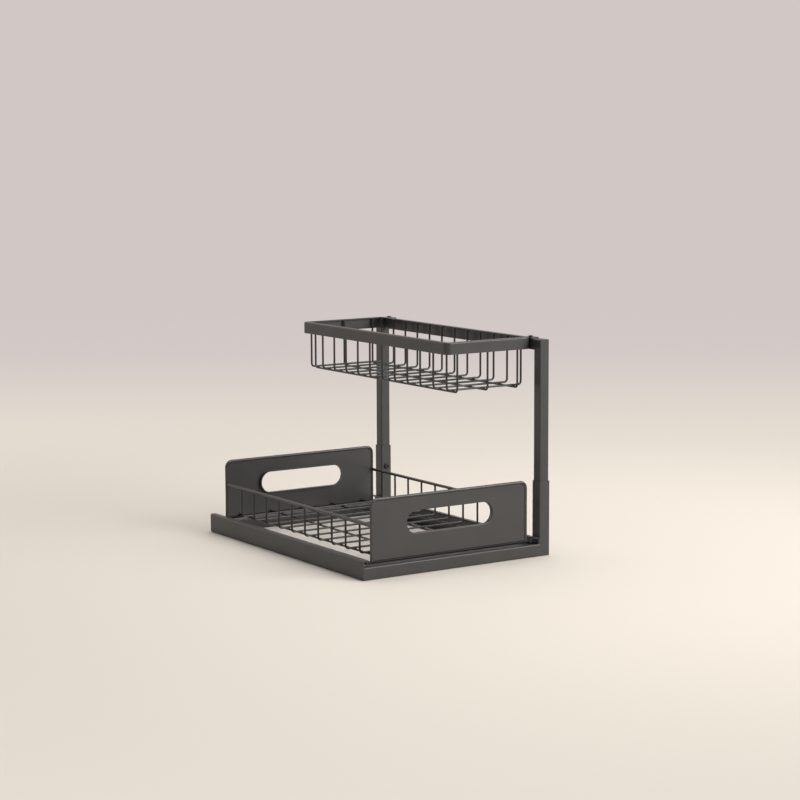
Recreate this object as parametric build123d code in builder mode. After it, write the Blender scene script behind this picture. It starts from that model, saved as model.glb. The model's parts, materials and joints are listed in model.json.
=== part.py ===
from build123d import *
import os

# Two-tier under sink organizer. +X points to the post side, -Y to the handle end, +Z up.
# The origin is on the resting plane, at the middle of the footprint. Lengths are in millimetres.

# Overall sizes
base_length = 356.0
base_width = 260.0
post_height = 256.0
sleeve_height = 89.0

# Square tube of the end bars and sleeves, and the smaller tube of the upper frame inside it
tube_size = 15.0
tube_wall = 1.0
tube_corner = 1.6
post_fit = 0.1
post_wall = 1.0
post_corner = 1.3
post_foot_gap = 4.0

# Side rails, folded from sheet
rail_height = 23.0
rail_depth = 7.0
rail_wall = 1.2
rail_bend = 2.0

# Drawer runners, and the length of drawer that stays inside when it is pulled out
drawer_hold = 136.0
runner_wall = 1.4
runner_gap = 0.4
runner_inset = 13.0
bar_gap = 1.6
rail_edge_gap = 0.5
bracket_radius = 7.5
bracket_stop_gap = 0.5

# Rollers, axles and the lug that stops the drawer when it is pulled out
rolling_gap = 0.3
roller_width = 5.0
roller_side_gap = 0.5
roller_hub_radius = 4.2
roller_rim = 2.0
roller_recess = 0.9
roller_edge = 0.5
axle_radius = 2.0
axle_fit = 0.1
axle_head_radius = 3.4
axle_head_height = 1.0
front_roller_inset = 28.0
rear_roller_inset = 30.0
lug_length = 1.2
lug_width = 4.0
lug_height = 12.0
lug_gap = 1.0

# Drawer ends: a rod bent round three sides of a sheet panel that has a lipped hand slot
end_rod_top = 91.2
end_rod_bend = 7.5
end_rod_gap = 4.6
end_rod_front_inset = 7.4
end_rod_rear_inset = 15.0
panel_wall = 1.2
slot_length = 119.0
slot_height = 26.0
slot_centre_height = 58.6
slot_lip_depth = 4.0
slot_edge = 0.8

# Drawer rods and wires
rod_diameter = 3.6
wire_diameter = 2.4
wire_bend = 4.0
fence_height = 60.5
fence_step = 1.0
fence_wire_count = 10
fence_wire_margin = 31.0
long_wire_count = 5
long_wire_inset = 13.2

# Upper basket
basket_width = 120.0
basket_end_gap = 17.8
basket_post_gap = 1.0
basket_depth = 54.9
rim_height = 14.0
rim_wall = 1.2
rim_corner = 7.0
rim_flange = 6.0
rim_fold = 1.6
rim_rise = 0.7
basket_wire_count = 12
basket_wire_margin = 10.6
basket_long_count = 3
basket_long_inset = 10.1
basket_long_margin = 3.7

# Tabs that carry the basket on the top crossbar, and the screws
tab_length = 18.0
tab_width = 11.0
tab_thickness = 1.5
tab_inset = 8.2
tab_screw_radius = 1.5
tab_screw_length = 6.0
tab_head_radius = 2.7
tab_head_height = 1.6
sleeve_screw_radius = 2.0
sleeve_screw_length = 7.0
sleeve_screw_height = 62.0
sleeve_head_radius = 3.6
sleeve_head_height = 2.2
screw_fit = 0.1
recess_radius_share = 0.45
recess_depth_share = 0.6
recess_side_count = 6

# Overrun of every cutting tool
overrun = 5.0

# Places worked out from the sizes above
half_length = base_length / 2
half_width = base_width / 2
post_size = tube_size - 2 * tube_wall - 2 * post_fit
post_x = half_width - tube_size / 2
front_post_y = -half_length + tube_size / 2
post_inner_x = post_x - post_size / 2
sleeve_inner_x = half_width - tube_size
drawer_centre_x = (sleeve_inner_x - half_width) / 2
drawer_plane = Plane.YZ.offset(drawer_centre_x)
rail_inner_x = -half_width + rail_wall
rail_edge_x = -half_width + rail_depth
rail_mid_height = rail_height / 2

drawer_travel = base_length - drawer_hold
runner_top = rail_height - rail_wall - runner_gap
runner_under = runner_top - runner_wall
runner_leg_x = rail_edge_x + rail_edge_gap
runner_inner_x = runner_leg_x + runner_wall
runner_bottom = tube_size + bar_gap
runner_rear_y = half_length - runner_inset
front_roller_radius = runner_under - rolling_gap - rail_mid_height
rear_roller_radius = rail_height / 2 - rail_wall - rolling_gap
roller_outer_x = rail_inner_x + roller_side_gap
roller_inner_x = roller_outer_x + roller_width
front_roller_y = -half_length + front_roller_inset
rear_roller_y = half_length - rear_roller_inset
bracket_rear_y = half_length - tube_size - bracket_stop_gap
bracket_inner_x = runner_inner_x + runner_wall
lug_y = rear_roller_y - drawer_travel - rear_roller_radius - lug_gap

rod_radius = rod_diameter / 2
wire_radius = wire_diameter / 2
rod_height = runner_bottom + rod_radius
rod_length = 2 * (drawer_centre_x - runner_inner_x)
front_rod_y = -half_length + end_rod_front_inset
rear_rod_y = half_length - end_rod_rear_inset
runner_front_y = front_rod_y - rod_radius
drawer_centre_y = (front_rod_y + rear_rod_y) / 2
drawer_length = rear_rod_y - front_rod_y
drawer_middle = Plane.XZ.offset(-drawer_centre_y)

panel_bottom = rod_height + rod_radius
end_rod_height = end_rod_top - rod_radius
end_rod_x = runner_inner_x + end_rod_gap + rod_radius
end_rod_span = 2 * (drawer_centre_x - end_rod_x)
panel_width = end_rod_span - rod_diameter
panel_top = end_rod_height - rod_radius
panel_y = front_rod_y - panel_wall / 2
panel_inner_y = panel_y + panel_wall
slot_reach = slot_length / 2 + panel_wall
slot_rise = slot_height / 2 + panel_wall

fence_x = end_rod_x + fence_step
fence_leg_x = fence_x + rod_radius + wire_radius
fence_span = 2 * (drawer_centre_x - fence_leg_x)
fence_wire_pitch = (drawer_length - 2 * fence_wire_margin) / (fence_wire_count - 1)
long_wire_height = panel_bottom + wire_radius
long_wire_pitch = (fence_span - 2 * long_wire_inset) / (long_wire_count - 1)
cross_wire_height = long_wire_height + wire_diameter
fence_leg = fence_height + wire_radius - cross_wire_height

tab_top = post_height + tab_thickness
rim_top = tab_top + rim_rise
rim_under = rim_top - rim_wall
basket_length = base_length - 2 * basket_end_gap
basket_x = post_inner_x - basket_post_gap - basket_width / 2
basket_cross_height = rim_top - basket_depth - wire_radius
basket_long_height = basket_cross_height - wire_diameter
basket_cross_span = basket_width - 2 * rim_flange - wire_diameter
basket_long_span = basket_length - 2 * basket_long_margin
basket_wire_pitch = (basket_length - 2 * basket_wire_margin) / (basket_wire_count - 1)
basket_long_pitch = (basket_cross_span - 2 * basket_long_inset) / (basket_long_count - 1)
tab_x = basket_x + (basket_width + tab_width) / 2
tab_y = -basket_length / 2 + tab_inset
sleeve_screw_y = front_post_y + tube_size / 2

finished = []


def keep(builder, name):
    """Labels a finished piece and remembers it for writing."""
    builder.part.label = name
    finished.append(builder.part)


def tube_profile(size, wall, corner):
    """Draws the section of a square tube in the sketch that is open."""
    RectangleRounded(size, size, corner)
    RectangleRounded(size - 2 * wall, size - 2 * wall, corner - wall, mode=Mode.SUBTRACT)


def mirrored(source, about, name):
    """Makes the twin of a piece on the other side of a plane."""
    with BuildPart() as twin:
        mirror(source.part, about=about)
    keep(twin, name)


def bent_rod(plane, span, leg, bend, radius, name):
    """Bends one U of round stock: its middle lies on the plane's x axis and its legs point along y."""
    with BuildPart() as stock:
        with BuildLine(plane):
            corners = [(-span / 2, leg), (-span / 2, 0), (span / 2, 0), (span / 2, leg)]
            path = FilletPolyline(*corners, radius=bend)
        with BuildSketch(Plane(path @ 0, z_dir=path % 0)):
            Circle(radius)
        sweep()
    keep(stock, name)
    return stock


def straight_rod(plane, length, radius):
    """Makes a round rod that is centred on a plane and runs along its normal."""
    with BuildPart() as rod:
        with BuildSketch(plane):
            Circle(radius)
        extrude(amount=length / 2, both=True)
    return rod.part


def turned_pin(plane, radius, length, head_radius, head_height):
    """Makes a headed pin: the head stands on the plane and the shank runs below it."""
    with BuildPart() as pin:
        with BuildSketch(plane):
            Circle(head_radius)
        extrude(amount=head_height)
        with BuildSketch(plane):
            Circle(radius)
        extrude(amount=-length)
    return pin.part


# Base frame: an end bar and a sleeve of one tube, mitred where they meet, at each end
base_mitre = Plane(origin=(half_width, 0, 0), z_dir=(1, 0, 1))

with BuildPart() as front_end_bar:
    with BuildSketch(Plane.YZ.offset(rail_inner_x)):
        with Locations((front_post_y, tube_size / 2)):
            tube_profile(tube_size, tube_wall, tube_corner)
    extrude(amount=half_width - rail_inner_x)
    split(bisect_by=base_mitre, keep=Keep.BOTTOM)
keep(front_end_bar, "front_end_bar")
mirrored(front_end_bar, Plane.XZ, "rear_end_bar")

with BuildPart() as front_sleeve:
    with BuildSketch(Plane.XY):
        with Locations((post_x, front_post_y)):
            tube_profile(tube_size, tube_wall, tube_corner)
    extrude(amount=sleeve_height)
    split(bisect_by=base_mitre, keep=Keep.TOP)
    with BuildSketch(Plane.XZ.offset(-sleeve_screw_y)):
        with Locations((post_x, sleeve_screw_height)):
            Circle(sleeve_screw_radius + screw_fit)
    extrude(amount=tube_size / 2, mode=Mode.SUBTRACT)
keep(front_sleeve, "front_sleeve")
mirrored(front_sleeve, Plane.XZ, "rear_sleeve")

# Side rails: a folded channel that opens to the drawer, cut away round the end bars
with BuildPart() as left_rail:
    with BuildSketch(Plane.XZ.offset(half_length)) as rail_profile:
        with Locations((-half_width, 0)):
            Rectangle(rail_depth, rail_height, align=(Align.MIN, Align.MIN))
        outer_corners = rail_profile.vertices().group_by(Axis.X)[0]
        fillet(outer_corners, radius=rail_bend)
        channel_height = rail_height - 2 * rail_wall
        with Locations((rail_inner_x, rail_wall)):
            Rectangle(rail_depth, channel_height, align=(Align.MIN, Align.MIN), mode=Mode.SUBTRACT)
        inner_corners = rail_profile.vertices().filter_by(lambda v: abs(v.X - rail_inner_x) < rail_wall / 2)
        fillet(inner_corners, radius=rail_bend - rail_wall)
    extrude(amount=-base_length)
    with BuildSketch(Plane.XY):
        with Locations((rail_inner_x, -half_length), (rail_inner_x, half_length - tube_size)):
            Rectangle(rail_depth, tube_size, align=(Align.MIN, Align.MIN))
    extrude(amount=tube_size, mode=Mode.SUBTRACT)
    with BuildSketch(Plane.YZ.offset(rail_inner_x)):
        with Locations((lug_y, rail_mid_height)):
            Rectangle(lug_length, lug_height)
    extrude(amount=lug_width)
keep(left_rail, "left_rail")

with BuildPart() as right_rail:
    mirror(left_rail.part, about=drawer_plane)
    with BuildSketch(Plane.XY):
        with Locations((sleeve_inner_x, front_post_y), (sleeve_inner_x, -front_post_y)):
            Rectangle(rail_depth, tube_size)
    extrude(amount=tube_size, mode=Mode.SUBTRACT)
keep(right_rail, "right_rail")

# Upper frame: two posts and a crossbar of the smaller tube, mitred at the top corners
upper_mitre = Plane(origin=(0, front_post_y - post_size / 2, post_height), z_dir=(0, 1, 1))

with BuildPart() as front_post:
    with BuildSketch(Plane.XY.offset(tube_size + post_foot_gap)):
        with Locations((post_x, front_post_y)):
            tube_profile(post_size, post_wall, post_corner)
    extrude(amount=post_height - tube_size - post_foot_gap)
    split(bisect_by=upper_mitre, keep=Keep.BOTTOM)
    with BuildSketch(Plane.XZ.offset(-sleeve_screw_y)):
        with Locations((post_x, sleeve_screw_height)):
            Circle(sleeve_screw_radius + screw_fit)
    extrude(amount=tube_size / 2, mode=Mode.SUBTRACT)
keep(front_post, "front_post")
mirrored(front_post, Plane.XZ, "rear_post")

with BuildPart() as top_crossbar:
    with BuildSketch(Plane.XZ.offset(-front_post_y + post_size / 2)):
        with Locations((post_x, post_height - post_size / 2)):
            tube_profile(post_size, post_wall, post_corner)
    extrude(amount=2 * front_post_y - post_size)
    split(bisect_by=upper_mitre, keep=Keep.TOP)
    rear_mitre = Plane(origin=(0, -front_post_y + post_size / 2, post_height), z_dir=(0, -1, 1))
    split(bisect_by=rear_mitre, keep=Keep.TOP)
    with BuildSketch(Plane.XY.offset(post_height)):
        with Locations((tab_x, tab_y), (tab_x, -tab_y)):
            Circle(tab_screw_radius + screw_fit)
    extrude(amount=-post_wall - overrun, mode=Mode.SUBTRACT)
keep(top_crossbar, "top_crossbar")

# Sleeve screws: one through each sleeve into the post, on the side that faces the other post
with BuildPart() as sleeve_screws:
    screw_face = Plane(origin=(post_x, sleeve_screw_y, sleeve_screw_height), z_dir=(0, 1, 0))
    screw_head = (sleeve_head_radius, sleeve_head_height)
    add(turned_pin(screw_face, sleeve_screw_radius, sleeve_screw_length, *screw_head))
    head_rim = sleeve_screws.edges().group_by(Axis.Y)[-1]
    fillet(head_rim, radius=sleeve_head_height * recess_radius_share)
    with BuildSketch(screw_face.offset(sleeve_head_height)):
        RegularPolygon(sleeve_head_radius * recess_radius_share, side_count=recess_side_count)
    extrude(amount=-sleeve_head_height * recess_depth_share, mode=Mode.SUBTRACT)
    mirror(about=Plane.XZ)
keep(sleeve_screws, "sleeve_screws")

# Front rollers turn on rivets in the rails, and the drawer runners ride on top of them
with BuildPart() as left_front_axle:
    axle_face = Plane(origin=(roller_inner_x + axle_fit, front_roller_y, rail_mid_height), z_dir=(1, 0, 0))
    axle_length = roller_inner_x + axle_fit - rail_inner_x
    add(turned_pin(axle_face, axle_radius, axle_length, axle_head_radius, axle_head_height))
keep(left_front_axle, "left_front_axle")
mirrored(left_front_axle, drawer_plane, "right_front_axle")


def roller(radius, y, name):
    """Turns one nylon roller with a recessed web between its hub and rim."""
    with BuildPart() as wheel:
        with BuildSketch(Plane.XY.offset(rail_mid_height)) as half:
            with Locations((roller_outer_x, y + axle_radius + axle_fit)):
                Rectangle(roller_width, radius - axle_radius - axle_fit, align=(Align.MIN, Align.MIN))
            rim_corners = half.vertices().group_by(Axis.Y)[-1]
            chamfer(rim_corners, length=roller_edge)
            recess = radius - roller_rim - roller_hub_radius
            recess_y = y + roller_hub_radius
            with Locations((roller_outer_x, recess_y), (roller_inner_x - roller_recess, recess_y)):
                Rectangle(roller_recess, recess, align=(Align.MIN, Align.MIN), mode=Mode.SUBTRACT)
        revolve(axis=Axis((0, y, rail_mid_height), (1, 0, 0)))
    keep(wheel, name)
    return wheel


left_front_roller = roller(front_roller_radius, front_roller_y, "left_front_roller")
mirrored(left_front_roller, drawer_plane, "right_front_roller")
left_rear_roller = roller(rear_roller_radius, rear_roller_y, "left_rear_roller")
mirrored(left_rear_roller, drawer_plane, "right_rear_roller")

# Drawer runners: an angle strip under each rail's top flange
with BuildPart() as left_runner:
    flange_end_y = rear_roller_y - rear_roller_radius - lug_gap
    with BuildSketch(Plane.XY.offset(runner_under)):
        with Locations((roller_outer_x, runner_front_y)):
            Rectangle(
                runner_inner_x - roller_outer_x, flange_end_y - runner_front_y, align=(Align.MIN, Align.MIN)
            )
    extrude(amount=runner_wall)
    with BuildSketch(Plane.XY.offset(runner_bottom)):
        with Locations((runner_leg_x, runner_front_y)):
            Rectangle(runner_wall, runner_rear_y - runner_front_y, align=(Align.MIN, Align.MIN))
    extrude(amount=runner_top - runner_bottom)
keep(left_runner, "left_runner")
mirrored(left_runner, drawer_plane, "right_runner")

# Rear brackets hang from the runners and carry the rear axles below them
with BuildPart() as left_rear_bracket:
    with BuildSketch(Plane.YZ.offset(runner_inner_x)):
        with BuildLine():
            ear_front = (rear_roller_y - bracket_radius, rail_mid_height)
            ear_rear = (rear_roller_y + bracket_radius, rail_mid_height)
            ThreePointArc(ear_front, (rear_roller_y, rail_mid_height - bracket_radius), ear_rear)
            top_rear = (bracket_rear_y, runner_top)
            top_front = (2 * rear_roller_y - bracket_rear_y, runner_top)
            Polyline(ear_rear, top_rear, top_front, ear_front)
        make_face()
        with Locations((rear_roller_y, rail_mid_height)):
            Circle(axle_radius + axle_fit, mode=Mode.SUBTRACT)
    extrude(amount=runner_wall)
keep(left_rear_bracket, "left_rear_bracket")
mirrored(left_rear_bracket, drawer_plane, "right_rear_bracket")

with BuildPart() as left_rear_axle:
    bracket_face = Plane(origin=(bracket_inner_x, rear_roller_y, rail_mid_height), z_dir=(1, 0, 0))
    pin_length = bracket_inner_x - roller_outer_x
    add(turned_pin(bracket_face, axle_radius, pin_length, axle_head_radius, axle_head_height))
keep(left_rear_axle, "left_rear_axle")
mirrored(left_rear_axle, drawer_plane, "right_rear_axle")

# Floor rods join the runners, and a bent rod stands on each of them
with BuildPart() as front_floor_rod:
    rod_plane = Plane(origin=(drawer_centre_x, front_rod_y, rod_height), z_dir=(1, 0, 0))
    add(straight_rod(rod_plane, rod_length, rod_radius))
keep(front_floor_rod, "front_floor_rod")
mirrored(front_floor_rod, drawer_middle, "rear_floor_rod")

end_plane = Plane(origin=(drawer_centre_x, front_rod_y, end_rod_height), x_dir=(1, 0, 0), z_dir=(0, 1, 0))
end_leg = end_rod_height - panel_bottom
front_end_rod = bent_rod(end_plane, end_rod_span, end_leg, end_rod_bend, rod_radius, "front_end_rod")
mirrored(front_end_rod, drawer_middle, "rear_end_rod")

# End panels fill the bent rods, and each has a hand slot with a lip turned into the drawer
with BuildPart() as front_panel:
    with BuildSketch(Plane.XZ.offset(-panel_y)) as outline:
        with Locations((drawer_centre_x, (panel_top + panel_bottom) / 2)):
            Rectangle(panel_width, panel_top - panel_bottom)
        fillet(outline.vertices().group_by(Axis.Y)[-1], radius=end_rod_bend - rod_radius)
    extrude(amount=-panel_wall)
    slot_place = (drawer_centre_x, slot_centre_height)
    with BuildSketch(Plane.XZ.offset(-panel_inner_y)):
        with Locations(slot_place):
            SlotOverall(slot_length + 2 * panel_wall, slot_height + 2 * panel_wall)
    extrude(amount=-slot_lip_depth)
    with BuildSketch(Plane.XZ.offset(-panel_y + overrun)):
        with Locations(slot_place):
            SlotOverall(slot_length, slot_height)
    extrude(amount=-slot_lip_depth - panel_wall - 2 * overrun, mode=Mode.SUBTRACT)
    slot_rim = front_panel.edges().filter_by_position(Axis.Y, panel_y, panel_y)
    slot_rim = slot_rim.filter_by(lambda e: abs(e.center().X - drawer_centre_x) < slot_reach)
    slot_rim = slot_rim.filter_by(lambda e: abs(e.center().Z - slot_centre_height) < slot_rise)
    fillet(slot_rim, radius=slot_edge)
keep(front_panel, "front_panel")
mirrored(front_panel, drawer_middle, "rear_panel")

# Fence rails run between the bent rods, and cross wires rise to them from the drawer's floor
with BuildPart() as left_fence_rail:
    rail_plane = Plane(origin=(fence_x, drawer_centre_y, fence_height), z_dir=(0, 1, 0))
    add(straight_rod(rail_plane, drawer_length - rod_diameter, rod_radius))
keep(left_fence_rail, "left_fence_rail")
mirrored(left_fence_rail, drawer_plane, "right_fence_rail")

for index in range(fence_wire_count):
    wire_y = drawer_centre_y + (index - (fence_wire_count - 1) / 2) * fence_wire_pitch
    wire_plane = Plane(origin=(drawer_centre_x, wire_y, cross_wire_height), x_dir=(1, 0, 0), z_dir=(0, -1, 0))
    wire_name = f"drawer_cross_wire_{index + 1:02d}"
    bent_rod(wire_plane, fence_span, fence_leg, wire_bend, wire_radius, wire_name)

with BuildPart() as drawer_long_wires:
    for index in range(long_wire_count):
        wire_x = drawer_centre_x + (index - (long_wire_count - 1) / 2) * long_wire_pitch
        wire_end = Plane(origin=(wire_x, drawer_centre_y, long_wire_height), z_dir=(0, 1, 0))
        add(straight_rod(wire_end, drawer_length - panel_wall, wire_radius))
keep(drawer_long_wires, "drawer_long_wires")

# Upper basket: a rim of folded strip, and two layers of bent wire welded to its flange
with BuildPart() as basket_rim:
    with BuildSketch(Plane.XY.offset(rim_top - rim_height)):
        with Locations((basket_x, 0)):
            RectangleRounded(basket_width, basket_length, rim_corner)
    extrude(amount=rim_height)
    fillet(basket_rim.edges().group_by(Axis.Z)[-1], radius=rim_fold)
    offset(amount=-rim_wall, openings=basket_rim.faces().sort_by(Axis.Z)[0])
    with BuildSketch(Plane.XY.offset(rim_top)):
        with Locations((basket_x, 0)):
            inside = (basket_width - 2 * rim_flange, basket_length - 2 * rim_flange)
            RectangleRounded(*inside, rim_corner - rim_flange)
    extrude(amount=-rim_wall - overrun, mode=Mode.SUBTRACT)
keep(basket_rim, "basket_rim")

for index in range(basket_wire_count):
    wire_y = (index - (basket_wire_count - 1) / 2) * basket_wire_pitch
    wire_plane = Plane(origin=(basket_x, wire_y, basket_cross_height), x_dir=(1, 0, 0), z_dir=(0, -1, 0))
    wire_leg = rim_top - rim_wall / 2 - basket_cross_height
    wire_name = f"basket_cross_wire_{index + 1:02d}"
    bent_rod(wire_plane, basket_cross_span, wire_leg, wire_bend, wire_radius, wire_name)

for index in range(basket_long_count):
    wire_x = basket_x + (index - (basket_long_count - 1) / 2) * basket_long_pitch
    wire_plane = Plane(origin=(wire_x, 0, basket_long_height), x_dir=(0, 1, 0), z_dir=(1, 0, 0))
    wire_leg = rim_under - basket_long_height
    wire_name = f"basket_long_wire_{index + 1}"
    bent_rod(wire_plane, basket_long_span, wire_leg, wire_bend, wire_radius, wire_name)

# Tabs welded to the rim lie on the crossbar, each held by a screw
with BuildPart() as front_hanger_tab:
    with BuildSketch(Plane.XY.offset(post_height)) as tab_shape:
        with Locations((tab_x, tab_y)):
            Rectangle(tab_width, tab_length)
        fillet(tab_shape.vertices().group_by(Axis.X)[-1], radius=tab_thickness)
        with Locations((tab_x, tab_y)):
            Circle(tab_screw_radius + screw_fit, mode=Mode.SUBTRACT)
    extrude(amount=tab_thickness)
keep(front_hanger_tab, "front_hanger_tab")
mirrored(front_hanger_tab, Plane.XZ, "rear_hanger_tab")

with BuildPart() as tab_screws:
    tab_face = Plane(origin=(tab_x, tab_y, tab_top), z_dir=(0, 0, 1))
    add(turned_pin(tab_face, tab_screw_radius, tab_screw_length, tab_head_radius, tab_head_height))
    fillet(tab_screws.edges().group_by(Axis.Z)[-1], radius=tab_head_height * recess_radius_share)
    with BuildSketch(tab_face.offset(tab_head_height)):
        RegularPolygon(tab_head_radius * recess_radius_share, side_count=recess_side_count)
    extrude(amount=-tab_head_height * recess_depth_share, mode=Mode.SUBTRACT)
    mirror(about=Plane.XZ)
keep(tab_screws, "tab_screws")

os.makedirs("parts", exist_ok=True)
for piece in finished:
    export_step(piece, f"parts/{piece.label}.step")
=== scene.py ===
# %% [markdown]
# This lesson dresses an under sink organizer: a low metal frame, a drawer of bent wire between
# two sheet end panels edged with bent rod, and a narrow wire basket on two posts. The shapes come
# from an engineering model in metres, so the script first loads that model as a fixed frame and then
# only adds finish, light and the small things a welder or a coating line leaves behind. Loading first
# means that every size used later can be read from the model instead of being typed again.

# %% Load the frame
import json
import math
import random

import bmesh
import bpy
from mathutils import Matrix, Vector


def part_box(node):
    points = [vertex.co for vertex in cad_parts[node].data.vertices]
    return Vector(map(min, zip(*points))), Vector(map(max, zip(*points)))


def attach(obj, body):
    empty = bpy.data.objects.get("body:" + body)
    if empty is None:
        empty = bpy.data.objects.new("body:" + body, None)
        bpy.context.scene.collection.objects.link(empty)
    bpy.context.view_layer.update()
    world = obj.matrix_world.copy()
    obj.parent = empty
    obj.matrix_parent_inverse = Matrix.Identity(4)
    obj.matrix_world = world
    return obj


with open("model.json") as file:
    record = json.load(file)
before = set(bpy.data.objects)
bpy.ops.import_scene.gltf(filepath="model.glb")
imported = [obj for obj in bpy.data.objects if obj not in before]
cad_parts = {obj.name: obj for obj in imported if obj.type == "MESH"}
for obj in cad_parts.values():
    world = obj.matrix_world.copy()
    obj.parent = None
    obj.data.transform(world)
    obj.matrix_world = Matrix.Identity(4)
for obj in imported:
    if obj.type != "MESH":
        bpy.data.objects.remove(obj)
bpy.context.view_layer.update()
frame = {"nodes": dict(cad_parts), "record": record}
nodes = frame["nodes"]

# %% [markdown]
# A product photo is taken from some way off with a long lens, so that upright edges stay upright.
# The camera could be aimed with a constraint, but an aimed camera can't carry the slight roll of a
# hand-held photo. Here its three axes are worked out from azimuth, elevation and roll, and the place
# follows from them: so far back from the origin, and a little to the right of it and above it.

# %% Camera
VIEW_AZIMUTH = math.radians(-33.37)
VIEW_ELEVATION = math.radians(7.44)
VIEW_ROLL = math.radians(-0.23)
VIEW_DISTANCE = 2.6678
AIM_RIGHT = 0.02995
AIM_UP = 0.1739
FOCAL_PIXELS = 2195.0
IMAGE_PIXELS = 800
SENSOR_WIDTH = 36.0
CLIP_NEAR, CLIP_FAR = 0.05, 60.0

back = Vector((
    math.sin(VIEW_AZIMUTH) * math.cos(VIEW_ELEVATION),
    -math.cos(VIEW_AZIMUTH) * math.cos(VIEW_ELEVATION),
    math.sin(VIEW_ELEVATION),
))
level_right = Vector((math.cos(VIEW_AZIMUTH), math.sin(VIEW_AZIMUTH), 0))
level_up = back.cross(level_right)
right = level_right * math.cos(VIEW_ROLL) + level_up * math.sin(VIEW_ROLL)
up = back.cross(right)

camera_data = bpy.data.cameras.new("photo camera")
camera_data.sensor_width = SENSOR_WIDTH
camera_data.lens = SENSOR_WIDTH * FOCAL_PIXELS / IMAGE_PIXELS
camera_data.clip_start = CLIP_NEAR
camera_data.clip_end = CLIP_FAR
camera = bpy.data.objects.new("photo camera", camera_data)
camera.matrix_world = Matrix.Translation(
    right * AIM_RIGHT + up * AIM_UP + back * VIEW_DISTANCE
) @ Matrix((right, up, back)).transposed().to_4x4()
bpy.context.scene.collection.objects.link(camera)
bpy.context.scene.camera = camera
print("lens", round(camera_data.lens, 2), "mm, camera at", [round(c, 3) for c in camera.location])

# %% [markdown]
# Every finish is built from the same few kinds of node. They could be drawn by hand in the shader
# editor, but short helpers that add them can be read and used again. A value can be a plain number,
# a colour or another node's output, and one helper tells them apart.


# %% Helpers for nodes
def add_node(tree, kind, **settings):
    """Adds a node and sets its properties by name."""
    node = tree.nodes.new(kind)
    for key, value in settings.items():
        setattr(node, key, value)
    return node


def feed(tree, value, socket):
    """Links a socket to another one, or sets it to a number or a colour."""
    if isinstance(value, bpy.types.NodeSocket):
        tree.links.new(value, socket)
    else:
        socket.default_value = value


def math_node(tree, operation, first, second):
    """Adds a math node whose two inputs are sockets or numbers."""
    node = add_node(tree, "ShaderNodeMath", operation=operation)
    feed(tree, first, node.inputs[0])
    feed(tree, second, node.inputs[1])
    return node.outputs[0]


def noise(tree, place, scale, detail, roughness=0.5):
    """Adds noise over an object's own coordinates, so many cells to the metre."""
    node = add_node(tree, "ShaderNodeTexNoise")
    tree.links.new(place.outputs["Object"], node.inputs["Vector"])
    feed(tree, scale, node.inputs["Scale"])
    node.inputs["Detail"].default_value = detail
    node.inputs["Roughness"].default_value = roughness
    return node.outputs["Fac"]


print("node helpers", [f.__name__ for f in (add_node, feed, math_node, noise)])

# %% [markdown]
# Effects that several finishes share, such as the fine orange peel of a powder coat, are node groups:
# a group has named inputs, so each material can set its own strength. This helper makes an empty
# group with those sockets, and the next cells fill such groups in.


# %% Helper for node groups
def new_group(name, inputs, outputs):
    """Makes an empty shader node group of number sockets. Each input is (name, default)."""
    group = bpy.data.node_groups.new(name, "ShaderNodeTree")
    for socket_name, default in inputs:
        socket = group.interface.new_socket(socket_name, in_out="INPUT", socket_type="NodeSocketFloat")
        socket.default_value = default
    for socket_name in outputs:
        group.interface.new_socket(socket_name, in_out="OUTPUT", socket_type="NodeSocketFloat")
    entry = group.nodes.new("NodeGroupInput")
    leave = group.nodes.new("NodeGroupOutput")
    print("group", name, "takes", [row[0] for row in inputs], "and gives", outputs)
    return group, entry, leave


print("group helper", new_group.__name__)

# %% [markdown]
# Powder coat is plastic powder that melts into a skin on the hot metal. It flows a little, so it is
# finely dimpled like orange peel, with cells about a millimetre wide, and a finer grain inside them.
# A single noise looks like sand, so the group adds two: a soft one for the dimples and a fine one for
# the grain. It puts out a height for a bump node and a slow mottle for colour and gloss.

# %% Powder skin group
GRAIN_PER_DIMPLE = 4.0
CLOUDS_PER_METRE = 28.0

skin, skin_in, skin_out = new_group(
    "powder skin", [("Dimple Size", 0.0014), ("Grain", 0.25)], ["Height", "Mottle"])
skin_place = add_node(skin, "ShaderNodeTexCoord")
dimple_scale = math_node(skin, "DIVIDE", 1.0, skin_in.outputs["Dimple Size"])
dimples = noise(skin, skin_place, dimple_scale, detail=1.0)
grain_scale = math_node(skin, "MULTIPLY", dimple_scale, GRAIN_PER_DIMPLE)
grain = noise(skin, skin_place, grain_scale, detail=2.0)
fine = math_node(skin, "MULTIPLY", grain, skin_in.outputs["Grain"])
skin.links.new(math_node(skin, "ADD", dimples, fine), skin_out.inputs["Height"])
clouds = noise(skin, skin_place, CLOUDS_PER_METRE, detail=4.0, roughness=0.6)
skin.links.new(clouds, skin_out.inputs["Mottle"])
print("powder skin nodes", len(skin.nodes))

# %% [markdown]
# Dust, wear and gloss don't start or end at a line, so their masks need soft steps. A colour ramp
# could shape them, but a Map Range node has its limits as plain numbers, and its smooth kind eases in
# and out and stays within them.


# %% Helper for soft steps
def remap(tree, value, low, high, to_low=0.0, to_high=1.0):
    """Maps a socket's range to another one, softly at both ends, and clamps it."""
    node = add_node(tree, "ShaderNodeMapRange", interpolation_type="SMOOTHSTEP")
    tree.links.new(value, node.inputs["Value"])
    node.inputs["From Min"].default_value = low
    node.inputs["From Max"].default_value = high
    node.inputs["To Min"].default_value = to_low
    node.inputs["To Max"].default_value = to_high
    return node.outputs["Result"]


print("step helper", remap.__name__)

# %% [markdown]
# A kitchen object gathers a faint dust on what faces up. The mask is the upward part of the surface
# normal times a broken noise, so that dust lies in patches and leaves the sides clean. It could be
# painted by hand, but a rule based on the normal also works on pieces that are added later.

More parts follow.
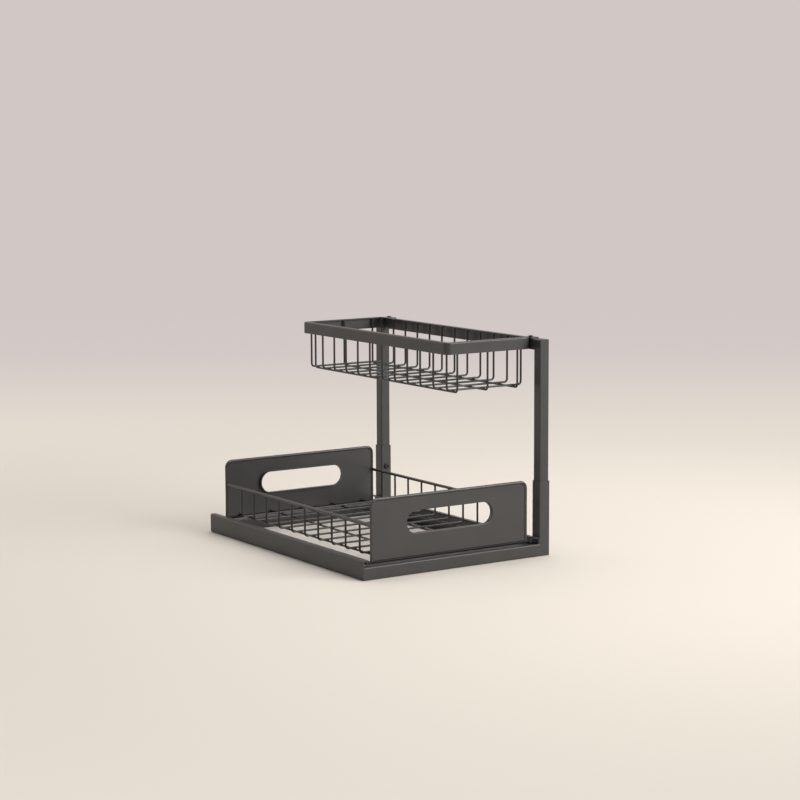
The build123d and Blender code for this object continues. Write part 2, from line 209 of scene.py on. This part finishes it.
# %% Dust group
STEEPEST_WITH_DUST = 0.35
PATCH_RANGE = (0.35, 0.75)
THINNEST_PATCH = 0.15

dust, dust_in, dust_out = new_group("dust", [("Amount", 0.2), ("Patch Size", 0.03)], ["Mask"])
dust_place = add_node(dust, "ShaderNodeTexCoord")
dust_facing = add_node(dust, "ShaderNodeNewGeometry")
split_normal = add_node(dust, "ShaderNodeSeparateXYZ")
dust.links.new(dust_facing.outputs["Normal"], split_normal.inputs["Vector"])
upward = remap(dust, split_normal.outputs["Z"], STEEPEST_WITH_DUST, 1.0)
patch_scale = math_node(dust, "DIVIDE", 1.0, dust_in.outputs["Patch Size"])
patches = noise(dust, dust_place, patch_scale, detail=6.0, roughness=0.65)
patchy = remap(dust, patches, *PATCH_RANGE, THINNEST_PATCH, 1.0)
lying = math_node(dust, "MULTIPLY", upward, patchy)
dust.links.new(math_node(dust, "MULTIPLY", lying, dust_in.outputs["Amount"]), dust_out.inputs["Mask"])
print("dust nodes", len(dust.nodes))

# %% [markdown]
# On the edges of tubes and panels a coat lies a little thinner and gets rubbed in use, so a lighter
# tone is kept for them. That lighter tone is also a painted highlight, for the shine of rounded edges.
# A bevel node compares the true normal with one rounded over a small radius: they only differ close to
# an edge. This needs no unwrapping and no painted map.

# %% Rubbed edge and painted highlight group
SAME_NORMAL, TURNED_NORMAL = 1.0, 0.86
RUBS_PER_METRE = 90.0
RUB_RANGE = (0.35, 0.7)
WEAKEST_RUB = 0.25

# The mask below is edge wear and a painted highlight together.
rub_highlight, rub_highlight_in, rub_highlight_out = new_group("rubbed edge and painted highlight", [("Radius", 0.0012), ("Amount", 0.5)], ["Mask"])
round_normal = add_node(rub_highlight, "ShaderNodeBevel", samples=6)
rub_highlight.links.new(rub_highlight_in.outputs["Radius"], round_normal.inputs["Radius"])
true_normal = add_node(rub_highlight, "ShaderNodeNewGeometry")
likeness = add_node(rub_highlight, "ShaderNodeVectorMath", operation="DOT_PRODUCT")
rub_highlight.links.new(round_normal.outputs["Normal"], likeness.inputs[0])
rub_highlight.links.new(true_normal.outputs["Normal"], likeness.inputs[1])
turned = remap(rub_highlight, likeness.outputs["Value"], SAME_NORMAL, TURNED_NORMAL)
rub_place = add_node(rub_highlight, "ShaderNodeTexCoord")
rub_noise = noise(rub_highlight, rub_place, RUBS_PER_METRE, detail=5.0)
broken = remap(rub_highlight, rub_noise, *RUB_RANGE, WEAKEST_RUB, 1.0)
worn_and_highlit = math_node(rub_highlight, "MULTIPLY", turned, broken)
rub_highlight.links.new(math_node(rub_highlight, "MULTIPLY", worn_and_highlit, rub_highlight_in.outputs["Amount"]), rub_highlight_out.inputs["Mask"])
print("rubbed edge and painted highlight nodes", len(rub_highlight.nodes))

# %% [markdown]
# A coat is never quite one tone: it is a little lighter where it is rubbed, and a plated part darker
# where it has stained. The second tone could be picked by eye, but one worked out from the first
# follows when the colour changes. The Mix node has a set of sockets for each kind of data, all under
# the same names, so its colour sockets are taken by their places in the list.


# %% Helpers for colours
MIX_FIRST, MIX_SECOND, MIX_RESULT = 6, 7, 2


def mix_colour(tree, factor, first, second):
    """Mixes two colours, each a socket or four numbers, by a factor socket."""
    node = add_node(tree, "ShaderNodeMix", data_type="RGBA")
    tree.links.new(factor, node.inputs["Factor"])
    feed(tree, first, node.inputs[MIX_FIRST])
    feed(tree, second, node.inputs[MIX_SECOND])
    return node.outputs[MIX_RESULT]


def shaded(colour, factor, lift=0.0):
    """Makes a colour lighter or darker, and at most white."""
    return tuple(min(1, c * factor + lift) for c in colour[:3]) + (1,)


print("colour helpers", mix_colour.__name__, shaded.__name__)

# %% [markdown]
# Coated steel, nylon, zinc and blackened screws all have a fine relief and a slow mottle, and differ
# in colour and gloss. The relief could be modelled, but it is a few hundredths of a millimetre deep,
# so a bump is enough. This helper starts a material with that skin and hands back what the finishes
# need to go on.


# %% Helper for skinned materials
MOTTLE_RANGE = (0.3, 0.7)


def skinned(name, dimple, bump, depth):
    """Starts a material with the powder skin's relief. Depth is in metres."""
    material = bpy.data.materials.new(name)
    material.use_nodes = True
    tree = material.node_tree
    shader = tree.nodes["Principled BSDF"]
    surface = add_node(tree, "ShaderNodeGroup", node_tree=skin)
    surface.inputs["Dimple Size"].default_value = dimple
    relief = add_node(tree, "ShaderNodeBump")
    relief.inputs["Strength"].default_value = bump
    relief.inputs["Distance"].default_value = depth
    tree.links.new(surface.outputs["Height"], relief.inputs["Height"])
    tree.links.new(relief.outputs["Normal"], shader.inputs["Normal"])
    return material, tree, shader, surface.outputs["Mottle"]


print("material helper", skinned.__name__)

# %% [markdown]
# The frame, the drawer and the basket all get the same kind of powder coat, so one function makes
# every coated material. Each could be built by hand, but they differ only in tone, gloss, how much
# their edges are worn and lightened, and how much they are dusted, and those are the function's
# values.
# Colour goes from the coat through a lighter edge tone, which is wear and painted highlight together,
# to the dust, and gloss follows the same masks.


# %% Recipe for coated metal
PEEL_DEPTH = 0.00006
MOTTLE_LIGHTER = 1.16
COAT_GLOSS_SWING = 0.035
RUBBED_HIGHLIGHT_LIGHTER, RUBBED_HIGHLIGHT_LIFT, RUBBED_SMOOTHER = 2.1, 0.01, 0.10
DUST_COLOUR = (0.30, 0.285, 0.265, 1)
DUST_ROUGHER = 0.35


def coated(name, colour, roughness, dimple, bump, edges, dustiness, shine=0.5):
    """Makes a powder coated metal. Edges of 0 leave out the lighter edge tone of wear and painted
    highlight.
    """
    material, tree, shader, mottle = skinned(name, dimple, bump, PEEL_DEPTH)
    tone = mix_colour(tree, mottle, colour, shaded(colour, MOTTLE_LIGHTER))
    smooth, rough = roughness - COAT_GLOSS_SWING, roughness + COAT_GLOSS_SWING
    gloss = remap(tree, mottle, *MOTTLE_RANGE, smooth, rough)
    if edges:
        edge = add_node(tree, "ShaderNodeGroup", node_tree=rub_highlight)
        edge.inputs["Amount"].default_value = edges
        # The lighter edge tone is wear and painted highlight together.
        rubbed_highlight_tone = shaded(colour, RUBBED_HIGHLIGHT_LIGHTER, RUBBED_HIGHLIGHT_LIFT)
        tone = mix_colour(tree, edge.outputs["Mask"], tone, rubbed_highlight_tone)
        smoother = math_node(tree, "MULTIPLY", edge.outputs["Mask"], RUBBED_SMOOTHER)
        gloss = math_node(tree, "SUBTRACT", gloss, smoother)
    dusty = add_node(tree, "ShaderNodeGroup", node_tree=dust)
    dusty.inputs["Amount"].default_value = dustiness
    tone = mix_colour(tree, dusty.outputs["Mask"], tone, DUST_COLOUR)
    rougher = math_node(tree, "MULTIPLY", dusty.outputs["Mask"], DUST_ROUGHER)
    gloss = math_node(tree, "ADD", gloss, rougher)
    tree.links.new(tone, shader.inputs["Base Color"])
    tree.links.new(gloss, shader.inputs["Roughness"])
    shader.inputs["Specular IOR Level"].default_value = shine
    return material


print("coat recipe", coated.__name__)

# %% [markdown]
# The coats follow the look of the picture, where thin wires seem darker than the charcoal tubes, rails
# and panels, and the fence rails and bent end rods smoother. Why they differ isn't known. The floor
# rods are hardly seen there: their near-black, dull coat is painted shade for the dark gap under the
# end panels, not their own tone. The floor rods are hardly seen there, so their dark, dull coat is a
# guess. Only flat and folded pieces get the lighter edges, which are wear and painted highlight
# together. One coat for all would be simpler, but it would look too even.

# %% Coats
CHARCOAL = (0.035, 0.0344, 0.0335, 1)
WIRE_DARK = (0.018, 0.0177, 0.0172, 1)
# The floor rods' near-black tone is painted shade, for the dark gap under the end panels.
FLOOR_ROD_PAINTED_SHADE = (0.011, 0.0108, 0.0105, 1)

frame_coat = coated("charcoal powder coat", colour=CHARCOAL, roughness=0.36, dimple=0.0014,
                    bump=0.4, edges=0.2, dustiness=0.06)
panel_coat = coated("charcoal panel coat", colour=CHARCOAL, roughness=0.36, dimple=0.0016,
                    bump=0.4, edges=0.2, dustiness=0.05)
wire_coat = coated("charcoal wire coat", colour=WIRE_DARK, roughness=0.30, dimple=0.0011,
                   bump=0.3, edges=0, dustiness=0.08)
fence_coat = coated("charcoal fence coat", colour=CHARCOAL, roughness=0.30, dimple=0.0011,
                    bump=0.3, edges=0, dustiness=0.12)
end_rod_coat = coated("charcoal end rod coat", colour=CHARCOAL, roughness=0.20, dimple=0.0011,
                      bump=0.25, edges=0, dustiness=0.05)
# This dull, near-black coat on the floor rods is painted shade.
floor_rod_shade_coat = coated("floor rod painted shade coat", colour=FLOOR_ROD_PAINTED_SHADE, roughness=0.42, dimple=0.0011,
                        bump=0.3, edges=0, dustiness=0.0, shine=0.12)
coats = (frame_coat, panel_coat, wire_coat, fence_coat, end_rod_coat, floor_rod_shade_coat)
print("coats", [coat.name for coat in coats])

# %% [markdown]
# The rollers and their axles are hidden in the picture, so they are finished as on common drawer
# slides, in white nylon and zinc plated steel. The screws are blackened steel. A touch of subsurface
# would suit the nylon, but the export keeps plain sockets best, so a warm white carries it. All three
# finishes follow one recipe: a flat tone with a darker mottle, on a very shallow relief.


# %% Nylon, plated steel and black screws
SMALL_DEPTH = 0.00003
SMALL_BUMP = 0.3
MOTTLE_DARKER = 0.78
SMALL_GLOSS_SWING = 0.06


def small_finish(name, colour, metallic, roughness, dimple):
    """Makes the finish of a small part, such as a roller or a screw."""
    material, tree, shader, mottle = skinned(name, dimple, SMALL_BUMP, SMALL_DEPTH)
    shader.inputs["Metallic"].default_value = metallic
    tone = mix_colour(tree, mottle, shaded(colour, MOTTLE_DARKER), colour)
    smooth, rough = roughness - SMALL_GLOSS_SWING, roughness + SMALL_GLOSS_SWING
    gloss = remap(tree, mottle, *MOTTLE_RANGE, smooth, rough)
    tree.links.new(tone, shader.inputs["Base Color"])
    tree.links.new(gloss, shader.inputs["Roughness"])
    return material


nylon = small_finish("white nylon", (0.78, 0.765, 0.71, 1), metallic=0.0, roughness=0.42,
                     dimple=0.0010)
zinc = small_finish("zinc plating", (0.60, 0.59, 0.57, 1), metallic=1.0, roughness=0.36,
                    dimple=0.0006)
black_oxide = small_finish("black screws", (0.035, 0.034, 0.033, 1), metallic=0.55, roughness=0.38,
                           dimple=0.0005)
print("small parts", nylon.name, zinc.name, black_oxide.name)

# %% [markdown]
# Each piece of the model gets its finish by what it is. It could be picked piece by piece, but the
# record already says which pieces are coated, nylon, plated or blackened, and a word in the name of
# a coated piece says which coat it has. So a short table does for all of them.

# %% Dress the model's pieces
finish_by_slot = {"nylon": nylon, "plated_steel": zinc, "black_screw": black_oxide}
coat_by_word = {"wire": wire_coat, "fence_rail": fence_coat, "panel": panel_coat,
                "end_rod": end_rod_coat, "floor_rod": floor_rod_shade_coat}
slots = {row["node"]: row["material_slot"] for row in frame["record"]["subparts"]}
for name, piece in nodes.items():
    finish = finish_by_slot.get(slots[name], frame_coat)
    if finish is frame_coat:
        for word, coat in coat_by_word.items():
            if word in name:
                finish = coat
    piece.data.materials.clear()
    piece.data.materials.append(finish)
print("dressed", len(nodes))

# %% [markdown]
# The wires are spot welded where they cross: the two rods are pressed together until they melt, and a
# small bead swells out at each side and is coated over. From a step away these beads are what tells a
# welded basket from a drawn one. They could be a bump in the material, but a bead changes the outline
# of the wire, so each one is a small flattened ball. Its place could be typed in, but these helpers
# read it from the boxes of the pieces that meet there.


# %% Helpers for the places of beads
def middle_of(node):
    """Gives the centre of a model piece, and half its size."""
    low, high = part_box(node)
    centre = Vector([(a + b) / 2 for a, b in zip(low, high)])
    return centre, Vector([(b - a) / 2 for a, b in zip(low, high)])


def named(start):
    """Lists the model's pieces whose names start so, in order."""
    return sorted(name for name in nodes if name.startswith(start))


def evenly(low, high, count):
    """Gives count numbers spread evenly from low to high."""
    return [low + (high - low) * index / (count - 1) for index in range(count)]


print("place helpers", [f.__name__ for f in (middle_of, named, evenly)])

# %% [markdown]
# A bead is a little wider than its wire, so its half sizes are given in wire or rod radii. One on a
# crossing lies flat, and one beside an upright wire stands taller. They could be typed in metres,
# but with radii read from the model a thicker wire gets larger beads.

# %% Sizes of weld beads
wire_radius = middle_of("drawer_cross_wire_01")[1].y
rod_radius = middle_of("left_fence_rail")[1].x
CROSS_BEAD = Vector((1.3, 1.3, 0.75)) * wire_radius
SIDE_BEAD = Vector((0.8, 1.35, 1.2)) * wire_radius
FOOT_BEAD = Vector((1.12, 1.12, 0.6)) * rod_radius
STUB_BEAD = Vector((0.45, 1.15, 1.15)) * rod_radius
RAIL_BEAD = Vector((1.12, 0.5, 1.12)) * rod_radius
print("wire radius", round(wire_radius, 5), "rod radius", round(rod_radius, 5))

# %% [markdown]
# On the drawer's floor each cross wire lies on five long ones and is welded to all of them. At both
# sides it rises and is welded to the fence rail from inside. The beads could be set one by one, but
# the list follows the model, so that a change of pitch moves them with it.

# %% Weld beads on the drawer's floor
LONG_WIRES = 5
long_middle, long_half = middle_of("drawer_long_wires")
long_edge = long_half.x - wire_radius
long_places = evenly(long_middle.x - long_edge, long_middle.x + long_edge, LONG_WIRES)
drawer_beads = []
for wire in named("drawer_cross_wire_"):
    wire_middle, wire_half = middle_of(wire)
    floor_z = wire_middle.z - wire_half.z
    for x in long_places:
        drawer_beads.append(((x, wire_middle.y, floor_z), CROSS_BEAD))
    for rail in ("left_fence_rail", "right_fence_rail"):
        rail_middle = middle_of(rail)[0]
        inward = math.copysign(rod_radius, wire_middle.x - rail_middle.x)
        drawer_beads.append(((rail_middle.x + inward, wire_middle.y, rail_middle.z), SIDE_BEAD))
print("beads on the floor and fence", len(drawer_beads))

# %% [markdown]
# No two weld beads are quite alike, so each ball is a little uneven and turned by chance. The seed is
# fixed, so that every run gives the same beads. Each bead could be an object of its own, but one
# mesh that holds them all is lighter. Its piece is coated metal, as the wires are.


# %% Helper for bead meshes
BEAD_UNEVENNESS = (0.88, 1.1)
BEAD_TURN = 0.3


def bead_mesh(name, beads, seed):
    """Makes one mesh of flattened balls. Each bead is (place, half sizes)."""
    chance = random.Random(seed)
    shape = bmesh.new()
    for place, half in beads:
        uneven = Vector([size * chance.uniform(*BEAD_UNEVENNESS) for size in half])
        turn = Matrix.Rotation(chance.uniform(-BEAD_TURN, BEAD_TURN), 4, "Z")
        fit = Matrix.Translation(place) @ turn @ Matrix.Diagonal((*uneven, 1))
        bmesh.ops.create_icosphere(shape, subdivisions=2, radius=1.0, matrix=fit)
    mesh = bpy.data.meshes.new(name)
    shape.to_mesh(mesh)
    shape.free()
    for face in mesh.polygons:
        face.use_smooth = True
    mesh.materials.append(wire_coat)
    piece = bpy.data.objects.new(name, mesh)
    bpy.context.scene.collection.objects.link(piece)
    print(name, "beads", len(beads))
    return piece


print("bead helper", bead_mesh.__name__)

# %% [markdown]
# At the front and the rear the long wires lie on a floor rod and end there. The floor rod's ends are
# welded to the runners, the bent end rod stands on it with two feet, and the fence rails end against
# the bent rod. These thicker rods have larger beads. They could be a second mesh, but together with
# those of the floor they need only one ride on the drawer, and slide with it.

# %% Weld beads at the drawer's ends
WIRE_END_INSET = 0.4
for end in ("front", "rear"):
    rod_middle, rod_half = middle_of(f"{end}_floor_rod")
    arch_middle, arch_half = middle_of(f"{end}_end_rod")
    toward = math.copysign(1, long_middle.y - rod_middle.y)
    wire_end = long_middle.y - toward * long_half.y
    for x in long_places:
        place = (x, wire_end + toward * wire_radius * WIRE_END_INSET, long_middle.z)
        drawer_beads.append((place, CROSS_BEAD))
    for side, rail in ((-1, "left_fence_rail"), (1, "right_fence_rail")):
        foot_x = arch_middle.x + side * (arch_half.x - rod_radius)
        drawer_beads.append(((foot_x, rod_middle.y, rod_middle.z + rod_radius), FOOT_BEAD))
        stub_x = rod_middle.x + side * rod_half.x
        drawer_beads.append(((stub_x, rod_middle.y, rod_middle.z), STUB_BEAD))
        rail_middle = middle_of(rail)[0]
        rail_end = (rail_middle.x, rod_middle.y + toward * rod_radius, rail_middle.z)
        drawer_beads.append((rail_end, RAIL_BEAD))
drawer_welds = bead_mesh("drawer_welds", drawer_beads, seed=11)
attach(drawer_welds, "drawer")

# %% [markdown]
# The basket's cross wires are welded to the three long wires below them and, on both sides, to the
# rim just under its flange. The long wires rise at their ends and are welded to the flange too. These
# beads could share the drawer's mesh, but the basket hangs from the top crossbar and stands still, so
# they are a mesh of their own that rides on the frame.

# %% Weld beads of the basket
RIM_BEAD_DROP = 1.3
END_BEAD_LARGER = 1.1
rim_middle, rim_half = middle_of("basket_rim")
rim_bead_z = rim_middle.z + rim_half.z - RIM_BEAD_DROP * wire_radius
basket_long = [middle_of(wire) for wire in named("basket_long_wire_")]
basket_beads = []
for wire in named("basket_cross_wire_"):
    wire_middle, wire_half = middle_of(wire)
    for long_wire, _ in basket_long:
        basket_beads.append(((long_wire.x, wire_middle.y, wire_middle.z - wire_half.z), CROSS_BEAD))
    for side in (-1, 1):
        leg_x = wire_middle.x + side * wire_half.x
        basket_beads.append(((leg_x, wire_middle.y, rim_bead_z), SIDE_BEAD))
for long_wire, long_wire_half in basket_long:
    for side in (-1, 1):
        leg_y = long_wire.y + side * (long_wire_half.y - wire_radius)
        leg_top = long_wire.z + long_wire_half.z
        basket_beads.append(((long_wire.x, leg_y, leg_top), CROSS_BEAD * END_BEAD_LARGER))
basket_welds = bead_mesh("basket_welds", basket_beads, seed=12)
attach(basket_welds, "frame")

# %% [markdown]
# The studio is a pale sweep: a floor that curves up into a wall, so that no horizon line crosses the
# picture. A plane and a world colour would do, but the curve also gives the metal something soft to
# reflect. It is turned to face the camera. It is staging, and not part of the object.

# %% Shape of the sweep
SWEEP_FRONT, SWEEP_BACK, SWEEP_HALF_WIDTH = -6.0, 3.2, 7.0
SWEEP_RADIUS, SWEEP_HEIGHT = 1.2, 6.0
CURVE_STEPS = 24

profile = [(SWEEP_FRONT, 0.0), (SWEEP_BACK - SWEEP_RADIUS, 0.0)]
for step in range(1, CURVE_STEPS + 1):
    turn = math.pi / 2 * step / CURVE_STEPS
    profile.append((SWEEP_BACK - SWEEP_RADIUS + SWEEP_RADIUS * math.sin(turn),
                    SWEEP_RADIUS - SWEEP_RADIUS * math.cos(turn)))
profile.append((SWEEP_BACK, SWEEP_HEIGHT))
corners = [Vector((side, along, height))
           for along, height in profile for side in (-SWEEP_HALF_WIDTH, SWEEP_HALF_WIDTH)]
faces = [(2 * row, 2 * row + 1, 2 * row + 3, 2 * row + 2) for row in range(len(profile) - 1)]
sweep_mesh = bpy.data.meshes.new("pale sweep")
sweep_mesh.from_pydata(corners, [], faces)
for face in sweep_mesh.polygons:
    face.use_smooth = True
sweep = bpy.data.objects.new("pale sweep", sweep_mesh)
sweep.rotation_euler = (0, 0, VIEW_AZIMUTH)
bpy.context.scene.collection.objects.link(sweep)
print("sweep", len(faces), "strips")

# %% [markdown]
# Far from the lamps a floor falls dark, and right under a lamp it burns out. More light would only
# spoil the object, so the sweep and the world show the camera and the reflections their own plain
# colour there. These helpers tell such rays from those that carry light, and join the two shaders.


# %% Helpers for plain backgrounds
def seen_directly(tree):
    """Gives 1 for rays from the camera, from a reflection or through something clear, or else 0."""
    rays = add_node(tree, "ShaderNodeLightPath")
    seen = math_node(tree, "MAXIMUM", rays.outputs["Is Camera Ray"], rays.outputs["Is Glossy Ray"])
    return math_node(tree, "MAXIMUM", seen, rays.outputs["Is Transmission Ray"])


def join_shaders(tree, factor, lit, plain, output):
    """Sends the lit shader to the named output node, and the plain one where the factor is 1."""
    join = add_node(tree, "ShaderNodeMixShader")
    tree.links.new(factor, join.inputs["Fac"])
    tree.links.new(lit, join.inputs[1])
    tree.links.new(plain, join.inputs[2])
    tree.links.new(join.outputs["Shader"], tree.nodes[output].inputs["Surface"])


print("background helpers", seen_directly.__name__, join_shaders.__name__)

# %% [markdown]
# The floor is a warm cream and the wall a cooler white. Near the object the sweep is lit as usual and
# keeps the shadow. Farther out it turns to its plain colour, and the cream turns to the wall's tone,
# which starts sooner behind the object. Two materials would leave a line where they meet, so one
# material does it all by the distance from the origin, in metres.

# %% Paint of the sweep
FLOOR_CREAM = (0.80, 0.735, 0.650, 1)
WALL_WHITE = (0.84, 0.785, 0.780, 1)
WALL_SHOWN = (0.640, 0.572, 0.560, 1)
BEHIND_RANGE = (0.4, 2.5)
PLAIN_RANGE = (0.45, 1.25)
WALL_TONE_RANGE = (1.6, 4.5)
SWEEP_ROUGHNESS = 0.75

sweep_paint = bpy.data.materials.new("pale sweep")
sweep_paint.use_nodes = True
paint = sweep_paint.node_tree
spot = add_node(paint, "ShaderNodeTexCoord").outputs["Object"]
spot_parts = add_node(paint, "ShaderNodeSeparateXYZ")
paint.links.new(spot, spot_parts.inputs["Vector"])
reach = add_node(paint, "ShaderNodeVectorMath", operation="LENGTH")
paint.links.new(spot, reach.inputs[0])
behind = remap(paint, spot_parts.outputs["Y"], *BEHIND_RANGE)
plain_part = math_node(paint, "MAXIMUM", behind, remap(paint, reach.outputs["Value"], *PLAIN_RANGE))
far = remap(paint, reach.outputs["Value"], *WALL_TONE_RANGE)
wall_part = math_node(paint, "MAXIMUM", behind, far)
lit_paint = paint.nodes["Principled BSDF"]
lit_paint.inputs["Roughness"].default_value = SWEEP_ROUGHNESS
lit_tone = mix_colour(paint, wall_part, FLOOR_CREAM, WALL_WHITE)
paint.links.new(lit_tone, lit_paint.inputs["Base Color"])
plain_paint = add_node(paint, "ShaderNodeEmission")
plain_tone = mix_colour(paint, wall_part, FLOOR_CREAM, WALL_SHOWN)
paint.links.new(plain_tone, plain_paint.inputs["Color"])
shown = math_node(paint, "MULTIPLY", seen_directly(paint), plain_part)
join_shaders(paint, shown, lit_paint.outputs["BSDF"], plain_paint.outputs["Emission"],
             "Material Output")
sweep_mesh.materials.append(sweep_paint)
print("sweep paint nodes", len(paint.nodes))

# %% [markdown]
# Satin coat shows its shape by broad soft lights: small lamps give hard spots, and an even world alone
# leaves it flat. The key stands in front and to the right, where it lights the front panel and the end
# bar. A weak lamp behind and to the left draws a line along rods and rims, and a broad one overhead
# lights the flanges and the floor.


# %% Lights
LAMP_AIM = Vector((0.0, 0.0, 0.12))
SOFTBOXES = (
    ("key softbox", (1.35, -2.1, 1.2), (2.2, 1.3), 66, (1.0, 0.99, 0.98)),
    ("rear left softbox", (-1.6, 2.1, 1.3), (2.0, 1.4), 7, (1.0, 0.98, 0.96)),
    ("top softbox", (0.5, 0.2, 2.4), (1.8, 1.8), 32, (1.0, 1.0, 1.0)),
)

for name, place, size, watts, warmth in SOFTBOXES:
    lamp = bpy.data.lights.new(name, "AREA")
    lamp.shape = "RECTANGLE"
    lamp.size, lamp.size_y = size
    lamp.energy = watts
    lamp.color = warmth
    holder = bpy.data.objects.new(name, lamp)
    holder.location = place
    holder.rotation_euler = (LAMP_AIM - Vector(place)).to_track_quat("-Z", "Y").to_euler()
    bpy.context.scene.collection.objects.link(holder)
print("lamps", [row[0] for row in SOFTBOXES])

# %% [markdown]
# The air of the studio fills the shadows evenly, so that dark coat still reads as charcoal. Past the
# edges of the sweep, the camera and the reflections see the wall's plain tone, so that the background
# is pale from every side. The view transform is the plain one, so colours come out as written.

# %% Studio air
AIR_TONE = (0.86, 0.87, 0.88, 1)
AIR_STRENGTH = 0.28

world = bpy.data.worlds.new("studio air")
world.use_nodes = True
air = world.node_tree
fill = air.nodes["Background"]
fill.inputs["Color"].default_value = AIR_TONE
fill.inputs["Strength"].default_value = AIR_STRENGTH
distance = add_node(air, "ShaderNodeBackground")
distance.inputs["Color"].default_value = WALL_SHOWN
join_shaders(air, seen_directly(air), fill.outputs["Background"], distance.outputs["Background"],
             "World Output")
bpy.context.scene.world = world
bpy.context.scene.view_settings.view_transform = "Standard"
print("world", world.name, "fill", AIR_STRENGTH)
